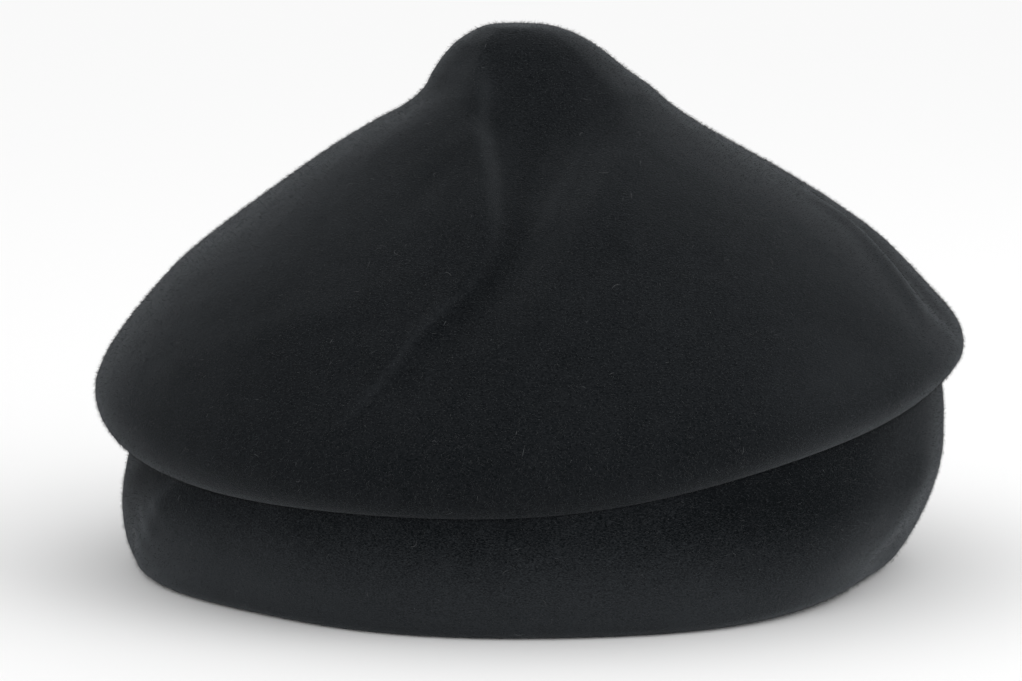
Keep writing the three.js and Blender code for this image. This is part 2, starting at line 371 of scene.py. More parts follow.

# Painted highlights along the crown's crests and painted shade in its valleys, and two broad patches
# painted paler where more light falls, added to the felt's colour.
CROWN_PAINTED_LIGHT = (
    SoftFold("left crest", LEFT_CREST, 0.17, 0.10, 0.12, 0.2),
    SoftFold("high left crest", LEFT_CREST[:7], 0.20, 0.28, 0.3, 0.6),
    SoftFold("low left crest", LEFT_CREST[10:], 0.20, 0.26, 0.5, 0.15),
    SoftFold("right crest", RIGHT_CREST[1:], 0.18, 0.10, 0.3, 0.4),
    SoftFold("tip valley", ((0.12, -88), (0.20, -88), (0.28, -89), (0.36, -91)), 0.9, -0.05, 0.3, 0.3),
    SoftFold("deep valley", (
        (0.24, -90), (0.34, -91), (0.42, -92), (0.51, -92.5), (0.59, -95.5), (0.69, -100.5), (0.80, -106),
    ), 0.50, -0.17, 0.25, 0.35),
    SoftFold("left of tip", ((0.06, -140), (0.12, -136), (0.18, -132), (0.25, -128)), 1.4, 0.36),
    SoftFold("low right", ((0.84, -34), (0.90, -42), (0.95, -54), (0.97, -66)), 2.6, 0.36),
)


@dataclass
class Crown:
    """The draped felt crown, from its tip over the curled edge and in to the head opening.

    The edge curls under from the widest ring, at ring_height, and sags lowest at sag_turn. The ring is
    raised towards +X and +Y, and droops at the front and the back. gather crowds the points towards the
    deep fold. The nap covers the dome and the first shown_curl sections of the curl. Turns and tilts
    are in degrees.
    """

    width: float
    depth: float
    height: float
    ring_height: float = 57.5 * MM
    side_tilt: float = 3.2
    front_tilt: float = 3.4
    droop: float = 3 * MM
    roll_inset: float = 18 * MM
    roll_drop: float = 12.4 * MM
    roll_sag: float = 3.6 * MM
    sag_turn: float = -84
    sag_width: float = 24
    roll_lean: float = 1.5
    head_width: float = 166 * MM
    head_depth: float = 188 * MM
    seam_rise: float = 0.4 * MM
    seam_land: float = 4 * MM
    fold_depth: float = 7 * MM
    felt_thickness: float = 2 * MM
    swell: float = 0.3 * MM
    swell_size: float = 26 * MM
    swell_seed: float = 3.1
    ripple_share: float = 0.35
    ripple_size: float = 9 * MM
    ripple_seed: float = 7.7
    column_count: int = 276
    dome_steps: int = 6
    roll_steps: int = 5
    line_steps: int = 180
    profile_steps: int = 300
    gather: float = 0.74
    shown_curl: float = 3.6

    def __post_init__(self) -> None:
        """Works out what the sizes give."""
        self.half_width = self.width / 2
        self.half_depth = self.depth / 2
        self.dome_height = self.height - self.ring_height
        self.slope_length = math.hypot(self.half_width, self.dome_height)
        self.seam_height = self.ring_height - self.roll_drop + self.seam_rise
        self.side_slope = math.tan(math.radians(self.side_tilt))
        self.front_slope = math.tan(math.radians(self.front_tilt))

    def tilt_height(self, x: np.ndarray, y: np.ndarray) -> np.ndarray:
        """How much the crown's tilt and droop lift each point."""
        return x * self.side_slope + y * self.front_slope - self.droop * (y / self.half_depth) ** 2

    def sag(self, turns: np.ndarray) -> np.ndarray:
        """How much lower the curled edge hangs at each turn than at the sides."""
        return self.roll_sag * np.exp(-(turn_between(self.sag_turn, turns) / self.sag_width) ** 2)

    def ring(self, reaches: np.ndarray, turns: np.ndarray) -> np.ndarray:
        """Finds points on tilted rings.

        Args:
            reaches: Left, right, front, back, height and lean, in its last axis.
            turns: The turn of each point, in degrees.

        Returns:
            The points, with x, y and z in the last axis.
        """
        left, right, front, back, height, lean = (reaches[..., column] for column in range(6))
        x = (right - left) / 2 + (right + left) / 2 * np.cos(np.radians(turns))
        y = (back - front) / 2 + (back + front) / 2 * np.sin(np.radians(turns))
        return np.stack([x, y, height + lean * self.tilt_height(x, y)], axis=-1)

    def dome_rows(self) -> list[list[float]]:
        """The dome's sections: reaches, height, lean, fall, the fold's turns and depth, and sag."""
        return [
            [
                row.left * self.half_width, row.right * self.half_width,
                row.front * self.half_depth, row.back * self.half_depth,
                self.height - row.fall * self.dome_height, row.fall, row.fall,
                row.left_ridge, row.valley, row.right_ridge, row.depth * self.fold_depth, 0.0,
            ]
            for row in CROWN_SECTIONS
        ]

    def roll_rows(self) -> list[list[float]]:
        """Continues the dome's sections round the curled edge and in to the head opening.

        Returns:
            The sections, with the same columns as the dome's.
        """
        # The fall, and the fold's turns and depth, stay what they are at the widest ring.
        fold = self.dome_rows()[-1][6:-1]
        rows = []
        for curl in (math.pi / 8, math.pi / 4, math.pi * 3 / 8, math.pi / 2):
            inset = self.roll_inset * (1 - math.cos(curl))
            side, end = self.half_width - inset, self.half_depth - inset
            drop, lean = self.roll_drop * math.sin(curl), 1 + (self.roll_lean - 1) * math.sin(curl)
            rows.append([side, side, end, end, self.ring_height - drop, lean, *fold, math.sin(curl)])
        for land in (self.seam_land, 0):
            side, end = self.head_width / 2 + land, self.head_depth / 2 + land
            rows.append([side, side, end, end, self.seam_height, self.roll_lean, *fold, 0.0])
        return rows

    def fold_relief(self, rows: np.ndarray, turns: np.ndarray) -> np.ndarray:
        """Lays the deep fold's profile across the sections.

        Args:
            rows: Each point's section.
            turns: Each point's turn, in degrees.

        Returns:
            How far out each point stands.
        """
        left_ridge, valley, right_ridge, depth = (rows[:, column] for column in range(7, 11))
        swing = turn_between(valley, turns)
        across = np.where(swing < 0, swing / (valley - left_ridge), swing / (right_ridge - valley))
        places = np.linspace(0, len(FOLD_PROFILE) - 1, self.profile_steps)
        profile = smooth_rows(np.array(FOLD_PROFILE), places)
        return depth * np.interp(across, profile[:, 0], profile[:, 1], left=0, right=0)

    def gathered(self, folds: tuple[SoftFold, ...], rows: np.ndarray, turns: np.ndarray) -> np.ndarray:
        """Adds up how deep the given folds, or how pale the given marks, are at each point.

        Args:
            folds: The folds or marks.
            rows: Each point's section.
            turns: Each point's turn, in degrees.

        Returns:
            One sum for each point.
        """
        falls, reach = rows[:, 6], (rows[:, 0] + rows[:, 1]) / 2
        shares = np.linspace(0, 1, self.line_steps)
        depth = np.zeros(len(falls))
        for fold in folds:
            line = smooth_rows(np.array(fold.line), shares * (len(fold.line) - 1))
            down = (falls[:, None] - line[:, 0]) * self.slope_length
            around = np.radians(turn_between(line[:, 1], turns[:, None])) * reach[:, None]
            away = np.hypot(down, around)
            share = shares[away.argmin(axis=1)]
            fade = eased(share / fold.fade_in) * eased((1 - share) / fold.fade_out)
            across = away.min(axis=1) / (fold.width * self.fold_depth)
            depth += fold.depth * fade * np.exp(-across ** 2)
        return depth

    def build(self) -> bpy.types.Object:
        """Makes the crown's felt.

        Returns:
            The felt, with a wall of one thickness behind its shown side.
        """
        dome, roll = self.dome_rows(), self.roll_rows()
        table = np.array(dome + roll)
        places = np.concatenate([
            np.linspace(0, len(dome) - 1, (len(dome) - 1) * self.dome_steps + 1),
            len(dome) - 1 + np.arange(1, len(roll) * self.roll_steps + 1) / self.roll_steps,
        ])
        grid = spun_grid("crown_felt", len(places), self.column_count, has_tip=True)
        row_numbers, spin = grid_places(grid)
        point_places = places[row_numbers]
        rows = smooth_rows(table, point_places)
        turns = rows[:, 8] + spin - np.degrees(self.gather * np.sin(np.radians(spin)))
        points = self.ring(rows[:, :6], turns)
        points[:, 2] -= rows[:, 11] * self.sag(turns)
        on_dome = eased((points[:, 2] - self.seam_height) / self.roll_drop)
        relief = self.fold_relief(rows, turns) - self.fold_depth * self.gathered(SOFT_FOLDS, rows, turns)
        relief += self.swell * on_dome * unevenness(points, self.swell_size, self.swell_seed)
        ripple = self.swell * self.ripple_share
        relief += ripple * on_dome * unevenness(points, self.ripple_size, self.ripple_seed)
        outward = points - np.array([0, 0, self.ring_height])
        outward /= np.linalg.norm(outward, axis=1, keepdims=True)
        place_points(grid.data, points + outward * relief[:, None])
        keep_layer(grid.data, SHOWN, point_places <= len(dome) - 1 + self.shown_curl)
        # The crown's painted highlights and painted shade, kept for its colour.
        keep_layer(grid.data, PAINTED_LIGHT_AND_SHADE, self.gathered(CROWN_PAINTED_LIGHT, rows, turns))
        add_wall(grid, self.felt_thickness)
        return grid


@dataclass(frozen=True)
class Tuck:
    """A tuck or flat on the cuff, or a mark of painted highlight or painted shade on it.

    Each station of its line is a rise, from 0 at the bottom fold to 1 at the free edge, a turn in
    degrees and a depth. width is half its width, in degrees. A tuck's depth is how far it goes in, in
    tuck depths, and a mark's is how much paler its colour is painted. A ridge and a mark of painted
    shade are negative.
    """

    name: str
    width: float
    line: tuple[tuple[float, float, float], ...]

    def depth(self, turns: np.ndarray, rise: float | np.ndarray) -> np.ndarray:
        """Works out how deep the tuck is.

        Args:
            turns: Where round the cuff, in degrees.
            rise: How high up the outer ply, once for all turns or for each one.

        Returns:
            A depth for each turn.
        """
        rises, centres, depths = zip(*self.line)
        across = turn_between(np.interp(rise, rises, centres), turns) / self.width
        return np.interp(rise, rises, depths) * np.exp(-across ** 2)


# The forms that lie over the cuff's plain rings.
TUCKS = (
    Tuck("front left flat", 20, ((0, -133, 1.25), (1, -133, 0.05))),
    Tuck("front right flat", 14, ((0, -25, 0.95), (0.2, -22, 1.25), (0.5, -20, -0.10), (1, -20, 0.0))),
    Tuck("right side", 14, (
        (0, -5, 0.15), (0.07, -5, 0.15), (0.19, -5, -0.24), (0.36, -5, -0.19), (0.58, -5, 0.09),
        (1, -5, 0.12),
    )),
    Tuck("front right fullness", 16, ((0, -60, -0.80), (0.4, -60, -0.20), (1, -60, 0.0))),
    Tuck("left hollow", 10, (
        (0, -180, -0.25), (0.2, -179, -0.42), (0.5, -177, -0.10), (0.82, -175, 0.64), (1, -174, 0.80),
    )),
    Tuck("left crease", 5.0, ((0, -173, 0.05), (0.25, -169, 0.20), (0.7, -160, 0.25), (1, -156, 0.10))),
    Tuck("left ridge", 3.2, ((0, -167, -0.05), (0.25, -162, -0.20), (0.7, -152, -0.25), (1, -148, -0.05))),
    Tuck("right ridge", 5.0, ((0, -32, -0.05), (0.3, -29, -0.25), (0.6, -25, -0.25), (0.9, -21, 0.0))),
)

# Painted highlights along the cuff's ridges and on its front left, and painted shade in its hollows,
# added to the felt's colour.
CUFF_PAINTED_LIGHT = (
    Tuck("left ridge", 1.7, ((0, -167, 0.1), (0.25, -162, 0.45), (0.7, -152, 0.55), (1, -148, 0.35))),
    Tuck("left hollow", 6.0, ((0, -180, 0.0), (0.25, -172, -0.25), (0.7, -162, -0.45), (1, -158, -0.35))),
    Tuck("right ridge", 6.0, (
        (0, -24, 0.25), (0.2, -21, 0.55), (0.45, -16, 0.60), (0.7, -12, 0.1), (1, -10, 0.0),
    )),
    Tuck("right hollow", 20, ((0, -55, -0.05), (0.3, -55, -0.12), (1, -50, -0.14))),
    Tuck("front left", 26, ((0, -135, 0.06), (0.6, -135, 0.12), (1, -135, 0.10))),
)


@dataclass
class Cuff:
    """The turned-up band: an inner ply from the head seam, a bottom fold, and a free outer ply.

    width and depth are those of its widest ring. Each row of a ply is a rise, as a share of the ply's
    height, and a spread, which is 0 at the bottom fold's ring and 1 at the head seam's for the inner
    ply, or at the widest ring for the outer one. The free edge follows the crown's curl, edge_gap below
    it. Of the way from seam to free edge, the swells take the share swell_start to come up and the
    share swell_end to die away, and the nap starts at the share shown_from. Below swell_rise the
    swells die away as well.
    """

    crown: Crown
    width: float = 229 * MM
    depth: float = 222 * MM
    side_shift: float = 1 * MM
    bottom_width: float = 206 * MM
    bottom_depth: float = 208 * MM
    bottom_side_shift: float = -4.5 * MM
    rest_band: float = 4 * MM
    edge_side_inset: float = 8.0 * MM
    edge_front_inset: float = 6.3 * MM
    edge_side_shift: float = 2 * MM
    seam_gap: float = 0.3 * MM
    edge_gap: float = 0.15 * MM
    tuck_depth: float = 3.5 * MM
    fold_lift: float = 0.5 * MM
    felt_thickness: float = 2 * MM
    swell: float = 0.35 * MM
    swell_size: float = 24 * MM
    swell_seed: float = 12.4
    swell_start: float = 0.10
    swell_end: float = 0.12
    swell_rise: float = 8 * MM
    column_count: int = 300
    steps: int = 7
    halvings: int = 30
    shown_from: float = 0.25
    inner_ply: tuple[tuple[float, float], ...] = ((1.00, 1.00), (0.72, 0.77), (0.45, 0.52), (0.10, 0.15))
    outer_ply: tuple[tuple[float, float], ...] = (
        (0.07, 0.30), (0.19, 0.52), (0.36, 0.75), (0.58, 0.95), (0.80, 0.98),
    )

    def ring(self, width: float, depth: float, shift: float, turns: np.ndarray) -> np.ndarray:
        """Points of a level ring at no height, at the given turns in degrees."""
        reaches = np.array([width / 2 - shift, width / 2 + shift, depth / 2, depth / 2, 0.0, 0.0])
        return self.crown.ring(np.broadcast_to(reaches, (len(turns), 6)), turns)

    def tucked(self, points: np.ndarray, turns: np.ndarray, rise: float) -> np.ndarray:
        """Moves points level, in towards the middle, by the depth of the tucks.

        Args:
            points: The points of one ring.
            turns: The turn of each, in degrees.
            rise: How high up the outer ply they lie.

        Returns:
            The moved points.
        """
        depth = np.zeros(len(turns))
        for tuck in TUCKS:
            depth += tuck.depth(turns, rise) * self.tuck_depth
        moved = points.copy()
        moved[:, :2] *= (1 - depth / np.hypot(points[:, 0], points[:, 1]))[:, None]
        return moved

    def edge_row(self, turns: np.ndarray) -> np.ndarray:
        """Places the free edge just below the crown's curl.

        How far in from the crown's widest ring each point lies is found by halving a range.

        Args:
            turns: Where round the cuff, in degrees.

        Returns:
            The edge's point at each turn.
        """
        crown = self.crown
        width = crown.width - 2 * self.edge_side_inset
        depth = crown.depth - 2 * self.edge_front_inset
        ring = self.ring(width, depth, self.edge_side_shift, turns)
        points = self.tucked(ring, turns, 1.0)
        low, high = np.zeros(len(turns)), np.full(len(turns), crown.roll_inset)
        for _ in range(self.halvings):
            middle = (low + high) / 2
            x_share = points[:, 0] / (crown.half_width - middle)
            y_share = points[:, 1] / (crown.half_depth - middle)
            outside = np.hypot(x_share, y_share) > 1
            low, high = np.where(outside, low, middle), np.where(outside, middle, high)
        curl = np.arccos(1 - low / crown.roll_inset)
        lean = 1 + (crown.roll_lean - 1) * np.sin(curl)
        lift = lean * crown.tilt_height(points[:, 0], points[:, 1])
        drop = (crown.roll_drop + crown.sag(turns)) * np.sin(curl)
        points[:, 2] = crown.ring_height + lift - drop - self.edge_gap
        return points

    def section_rows(self, turns: np.ndarray) -> np.ndarray:
        """Works out the cuff's rings, from the head seam round the bottom fold to the free edge.

        Args:
            turns: Where round the cuff, in degrees.

        Returns:
            The rings in order, each with a point at each turn.
        """
        crown = self.crown
        inner_width = self.bottom_width - 2 * self.rest_band
        inner_depth = self.bottom_depth - 2 * self.rest_band
        low = self.tucked(self.ring(inner_width, inner_depth, self.bottom_side_shift, turns), turns, 0.0)
        seam = np.array([
            crown.head_width / 2, crown.head_width / 2, crown.head_depth / 2, crown.head_depth / 2,
            crown.seam_height - self.seam_gap, crown.roll_lean,
        ])
        high = crown.ring(np.broadcast_to(seam, (len(turns), 6)), turns)
        rows = []
        for rise, spread in self.inner_ply:
            row = low + (high - low) * spread
            row[:, 2] = high[:, 2] * rise
            rows.append(row)
        bottom = self.ring(self.bottom_width, self.bottom_depth, self.bottom_side_shift, turns)
        outer_low = self.tucked(bottom, turns, 0.0)
        lift = np.array([0, 0, self.fold_lift])
        rows += [low + lift, (low + outer_low) / 2, outer_low + lift]
        widest = self.ring(self.width, self.depth, self.side_shift, turns)
        top = self.edge_row(turns)
        for rise, spread in self.outer_ply:
            row = bottom + (widest - bottom) * spread
            row[:, 2] = top[:, 2] * rise
            rows.append(self.tucked(row, turns, rise))
        return np.array([*rows, top])

    def rises(self) -> list[float]:
        """The rise of each row of the section."""
        inner, outer = (rise for rise, _ in self.inner_ply), (rise for rise, _ in self.outer_ply)
        return [*inner, 0, 0, 0, *outer, 1]

    def build(self) -> bpy.types.Object:
        """Makes the cuff's felt.

        Returns:
            The felt, with a wall of one thickness behind its shown side.
        """
        turns = np.arange(self.column_count) * 360 / self.column_count
        table = self.section_rows(turns)
        count = (len(table) - 1) * self.steps + 1
        fine = smooth_rows(table, np.linspace(0, len(table) - 1, count))
        grid = spun_grid("cuff_felt", count, self.column_count, has_tip=False)
        row_numbers, spin = grid_places(grid)
        columns = np.round(spin / 360 * self.column_count).astype(int) % self.column_count
        points = fine[row_numbers, columns]
        level = row_numbers / (count - 1)
        on_ply = eased(level / self.swell_start) * eased((1 - level) / self.swell_end)
        on_ply *= eased(points[:, 2] / self.swell_rise)
        relief = self.swell * on_ply * unevenness(points, self.swell_size, self.swell_seed)
        outward = points[:, :2] / np.linalg.norm(points[:, :2], axis=1, keepdims=True)
        points[:, :2] += outward * relief[:, None]
        points[:, 2] = np.maximum(points[:, 2], 0)
        place_points(grid.data, points)
        rises = np.interp(level * (len(table) - 1), np.arange(len(table)), self.rises())
        # The cuff's painted highlights and painted shade, kept for its colour.
        brushed = sum(mark.depth(turns[columns], rises) for mark in CUFF_PAINTED_LIGHT)
        keep_layer(grid.data, SHOWN, level >= self.shown_from)
        keep_layer(grid.data, PAINTED_LIGHT_AND_SHADE, brushed)
        make_face_down(grid.data)
        add_wall(grid, self.felt_thickness)
        return grid


class NapLie(Enum):
    """Which way the felt was brushed."""

    DOWN = "down the slope"
    ROUND = "round the hat"


@dataclass(frozen=True)
class NapPatch:
    """A stretch of the hat that one nap piece covers, from one turn to another, in degrees."""

    name: str
    turn_from: float
    turn_to: float
    fibre_count: int


@dataclass
class Nap:
    """Short fibres that stand out of the felt, each a slim closed pyramid.

    A fibre's foot is sunk in the felt. It lifts from the felt by an angle between lowest_lift and
    highest_lift, and strays to the side by about stray, all in radians. tone_shares is how many of the
    fibres have each of the nap's tones.
    """

    lie: NapLie
    patches: tuple[NapPatch, ...]
    seed: int
    shortest: float = 0.55 * MM
    longest: float = 1.5 * MM
    half_width: float = 0.032 * MM
    sunk: float = 0.10 * MM
    lowest_lift: float = 0.30
    highest_lift: float = 1.25
    stray: float = 0.9
    tone_shares: tuple[float, ...] = (0.70, 0.294, 0.006)

    def roots(self, felt: bpy.types.Object, patch: NapPatch, draw: np.random.Generator
              ) -> tuple[np.ndarray, np.ndarray]:
        """Picks where the fibres of one patch stand.

        Args:
            felt: The felt sheet that they stand on.
            patch: Which stretch of it they cover.
            draw: The source of chance.

        Returns:
            The roots and the felt's outward direction at each.
        """
        mesh = felt.data
        points = mesh_points(mesh)
        mesh.calc_loop_triangles()
        corners = np.zeros(len(mesh.loop_triangles) * 3, int)
        mesh.loop_triangles.foreach_get("vertices", corners)
        corners = corners.reshape(-1, 3)
        shown = np.zeros(len(points), np.float32)
        mesh.attributes[SHOWN].data.foreach_get("value", shown)
        normals = np.zeros(len(points) * 3)
        mesh.vertices.foreach_get("normal", normals)
        normals = normals.reshape(-1, 3)
        middles = points[corners].mean(axis=1)
        turns = np.degrees(np.arctan2(middles[:, 1], middles[:, 0])) % 360
        within = (turns - patch.turn_from) % 360 < patch.turn_to - patch.turn_from
        corners = corners[within & (shown[corners].min(axis=1) > 0.5)]
        a, b, c = (points[corners[:, corner]] for corner in range(3))
        areas = np.linalg.norm(np.cross(b - a, c - a), axis=1)
        picked = draw.choice(len(corners), patch.fibre_count, p=areas / areas.sum())
        weights = draw.dirichlet((1, 1, 1), patch.fibre_count)[:, :, None]
        roots = (points[corners[picked]] * weights).sum(axis=1)
        outward = (normals[corners[picked]] * weights).sum(axis=1)
        return roots, outward / np.linalg.norm(outward, axis=1, keepdims=True)

    def directions(self, roots: np.ndarray, outward: np.ndarray, draw: np.random.Generator
                   ) -> np.ndarray:
        """Leans each fibre from the felt's outward direction towards the way it was brushed.

        Args:
            roots: Where the fibres stand.
            outward: The felt's outward direction at each.
            draw: The source of chance.

        Returns:
            The direction of each fibre.
        """
        upright = np.array([0.0, 0.0, 1.0])
        level = np.stack([-roots[:, 1], roots[:, 0], np.zeros(len(roots))], axis=1)
        if self.lie is NapLie.DOWN:
            brushed = outward * outward[:, 2:3] - upright
        else:
            brushed = level - outward * (level * outward).sum(axis=1, keepdims=True)
        brushed /= np.linalg.norm(brushed, axis=1, keepdims=True) + TINY
        sideways = np.cross(outward, brushed)
        swing = draw.normal(0, self.stray, (len(roots), 1))
        lean = draw.uniform(self.lowest_lift, self.highest_lift, (len(roots), 1))
        along = brushed * np.cos(swing) + sideways * np.sin(swing)
        return outward * np.sin(lean) + along * np.cos(lean)

    def grow(self, felt: bpy.types.Object, patch: NapPatch, number: int) -> bpy.types.Object:
        """Makes the fibres of one patch as one piece.

        Args:
            felt: The felt sheet that they stand on.
            patch: Which stretch of it they cover.
            number: The patch's place among the nap's patches, which sets its chance draws.

        Returns:
            The piece, with a number for each fibre's finish on its faces.
        """
        draw = np.random.default_rng(self.seed + number)
        roots, outward = self.roots(felt, patch, draw)
        ways = self.directions(roots, outward, draw)
        count = len(roots)
        length = draw.uniform(self.shortest, self.longest, (count, 1))
        # A fibre that would reach below the floor leans up instead.
        sinks = roots[:, 2] + ways[:, 2] * length[:, 0] < 0
        ways[sinks, 2] *= -1
        side = np.cross(ways, draw.normal(0, 1, (count, 3)))
        side *= self.half_width / np.linalg.norm(side, axis=1, keepdims=True)
        other = np.cross(ways, side)
        base = roots - ways * self.sunk
        # The three corners of a fibre's foot stand a third of a turn apart.
        sine = math.sqrt(3) / 2
        ring = [base + side, base - side / 2 + other * sine, base - side / 2 - other * sine]
        points = np.stack([*ring, roots + ways * length], axis=1).reshape(-1, 3)
        points[:, 2] = np.maximum(points[:, 2], 0)
        faces = np.array([(0, 2, 1), (0, 1, 3), (1, 2, 3), (2, 0, 3)])
        corners = (faces[None] + np.arange(count)[:, None, None] * 4).reshape(-1, 3)
        piece = loose_triangles(patch.name, points, corners)
        tones = draw.choice(len(self.tone_shares), count, p=self.tone_shares)
        piece.data.polygons.foreach_set("material_index", np.repeat(tones, 4))
        return piece


@dataclass
class Lint:
    """Stray pale threads that lie on the felt, each a bent tube of a few sides.

    A thread's drawn length is multiplied by a number from least_length to 1, and it bends sideways by
    about the share bend of that. Its ends float above the felt by the share end_lift of lift, and its
    middle by the share arch_lift more. end_radius is how thick its ends are, as a share of radius.
    """

    seed: int
    thread_count: int = 150
    shortest: float = 0.9 * MM
    longest: float = 3.4 * MM
    least_length: float = 0.5
    bend: float = 0.2
    radius: float = 0.040 * MM
    end_radius: float = 0.3
    lift: float = 0.5 * MM
    end_lift: float = 0.6
    arch_lift: float = 0.7
    joint_count: int = 5
    side_count: int = 4

    def strew(self, felt: bpy.types.Object, nap: Nap, name: str) -> bpy.types.Object:
        """Lays the threads on a felt sheet.

        Args:
            felt: The sheet.
            nap: The nap whose way of finding places they share.
            name: The piece's name.

        Returns:
            The piece.
        """
        draw = np.random.default_rng(self.seed)
        everywhere = NapPatch(name, 0, 360, self.thread_count)
        roots, outward = nap.roots(felt, everywhere, draw)
        points, corners = [], []
        for root, normal in zip(roots, outward):
            along = np.cross(normal, draw.normal(0, 1, 3))
            along /= np.linalg.norm(along)
            side = np.cross(normal, along)
            length = draw.uniform(self.shortest, self.longest) * draw.uniform(self.least_length, 1)
            bend = draw.normal(0, self.bend) * length
            line = []
            for share in np.linspace(-0.5, 0.5, self.joint_count):
                arch = 1 - 4 * share * share
                lift = self.lift * (self.end_lift + self.arch_lift * arch)
                line.append(root + along * (share * length) + side * (bend * arch) + normal * lift)
            tube = self.tube(np.array(line), normal)
            corners.append(self.skin() + len(points) * len(tube))
            points.append(tube)
        piece = loose_triangles(name, np.concatenate(points), np.concatenate(corners))
        piece.data.shade_smooth()
        return piece

    def tube(self, line: np.ndarray, normal: np.ndarray) -> np.ndarray:
        """Puts a ring round each joint of one thread, and a point at each end.

        Args:
            line: The joints.
            normal: The felt's outward direction.

        Returns:
            The rings' points in order, and then the two ends.
        """
        ways = np.gradient(line, axis=0)
        ways /= np.linalg.norm(ways, axis=1, keepdims=True)
        side = np.cross(ways, normal)
        side /= np.linalg.norm(side, axis=1, keepdims=True)
        other = np.cross(side, ways)
        rings = []
        for joint in range(self.joint_count):
            radius = self.radius * (self.end_radius if joint in (0, self.joint_count - 1) else 1)
            for angle in np.arange(self.side_count) * math.tau / self.side_count:
                aside = side[joint] * math.cos(angle) + other[joint] * math.sin(angle)
                rings.append(line[joint] + aside * radius)
        ends = [line[0] - ways[0] * self.radius, line[-1] + ways[-1] * self.radius]
        points = np.array(rings + ends)
        points[:, 2] -= min(points[:, 2].min(), 0)
        return points

    def skin(self) -> np.ndarray:
        """Joins the points of one thread, and closes both ends.

        Returns:
            The three points of each triangle.
        """
        sides, joints = self.side_count, self.joint_count
        faces = []
        for side in range(sides):
            beside = (side + 1) % sides
            for joint in range(joints - 1):
                a, b = joint * sides + side, joint * sides + beside
                faces += [(a, b + sides, b), (a, a + sides, b + sides)]
            last = (joints - 1) * sides
            faces += [(joints * sides, side, beside), (joints * sides + 1, last + beside, last + side)]
        return np.array(faces)


class Graph:
    """The shader nodes of one material."""

    def __init__(self, name: str) -> None:
        """Starts a material with no nodes.

        Args:
            name: The material's name.
        """
        self.material = bpy.data.materials.new(name)
        self.material.use_nodes = True
        self.tree = self.material.node_tree
        self.tree.nodes.clear()

    def add(self, kind: str, settings: dict[str, Any] | None = None,
            inputs: dict[str, Any] | None = None) -> bpy.types.Node:
        """Adds one node.

        Args:
            kind: The node's type.
            settings: Its own settings, which are set first.
            inputs: A value or a link for each socket, by the socket's name.

        Returns:
            The node.
        """
        node = self.tree.nodes.new(kind)
        for name, value in (settings or {}).items():
            setattr(node, name, value)
        for name, value in (inputs or {}).items():
            socket = next(s for s in node.inputs if s.name == name and s.enabled)
            if isinstance(value, Value):
                self.tree.links.new(value.socket, socket)
            else:
                socket.default_value = value
        return node

    def noise(self, size: float, detail: float, flatness: float = 1.0) -> "Value":
        """Adds a pattern of soft spots, read at the piece's own place.

        Args:
            size: How wide the spots are.
            detail: How much finer structure they have.
            flatness: How many times wider than high they are.

        Returns:
            A value that swings about 0.
        """
        place = Value(self, self.add("ShaderNodeTexCoord").outputs["Object"])
        turned = self.add("ShaderNodeMapping", None, {"Vector": place, "Scale": (1, 1, flatness)})
        spots = self.add("ShaderNodeTexNoise", None, {
            "Vector": Value(self, turned.outputs["Vector"]), "Scale": 1 / size,
            "Detail": detail, "Roughness": 0.6,
        })
        return Value(self, spots.outputs["Fac"]) - 0.5

    def blend(self, share: "Value", first: tuple[float, ...], second: tuple[float, ...]) -> "Value":
        """Blends two colours.

        Args:
            share: How much of the second there is, from 0 to 1.
            first: The colour at 0.
            second: The colour at 1.

        Returns:
            The colour between them.
        """
        mix = self.add("ShaderNodeMix", {"data_type": "RGBA"}, {"Factor": share})
        colours = [s for s in mix.inputs if s.type == "RGBA"]
        colours[0].default_value, colours[1].default_value = first, second
        return Value(self, next(s for s in mix.outputs if s.type == "RGBA"))

    def finish(self, surface: bpy.types.Node) -> bpy.types.Material:
        """Sends a shader to the material's output.

        Args:
            surface: The shader.

        Returns:
            The material.
        """
        out = self.add("ShaderNodeOutputMaterial")
        self.tree.links.new(surface.outputs[0], out.inputs["Surface"])
        return self.material


class Value:
    """A socket that can be used in a sum."""

    def __init__(self, graph: Graph, socket: bpy.types.NodeSocket) -> None:
        """Wraps one socket of a graph."""
        self.graph = graph
        self.socket = socket

    def maths(self, operation: str, first: Any, second: Any) -> "Value":
        """Adds a Math node.

        Args:
            operation: What it works out.
            first: Its first value, a number or another socket.
            second: Its second value.

        Returns:
            The node's result.
        """
        node = self.graph.add("ShaderNodeMath", {"operation": operation})
        for socket, value in zip(node.inputs, (first, second)):
            if isinstance(value, Value):
                self.graph.tree.links.new(value.socket, socket)
            else:
                socket.default_value = value
        return Value(self.graph, node.outputs[0])

    def __add__(self, other: Any) -> "Value":
        """This plus the other."""
        return self.maths("ADD", self, other)

    __radd__ = __add__

    def __sub__(self, other: Any) -> "Value":
        """This less the other."""
        return self.maths("SUBTRACT", self, other)

    def __rsub__(self, other: Any) -> "Value":
        """The other less this."""
        return self.maths("SUBTRACT", other, self)

    def __mul__(self, other: Any) -> "Value":
        """This times the other."""
        return self.maths("MULTIPLY", self, other)

    __rmul__ = __mul__


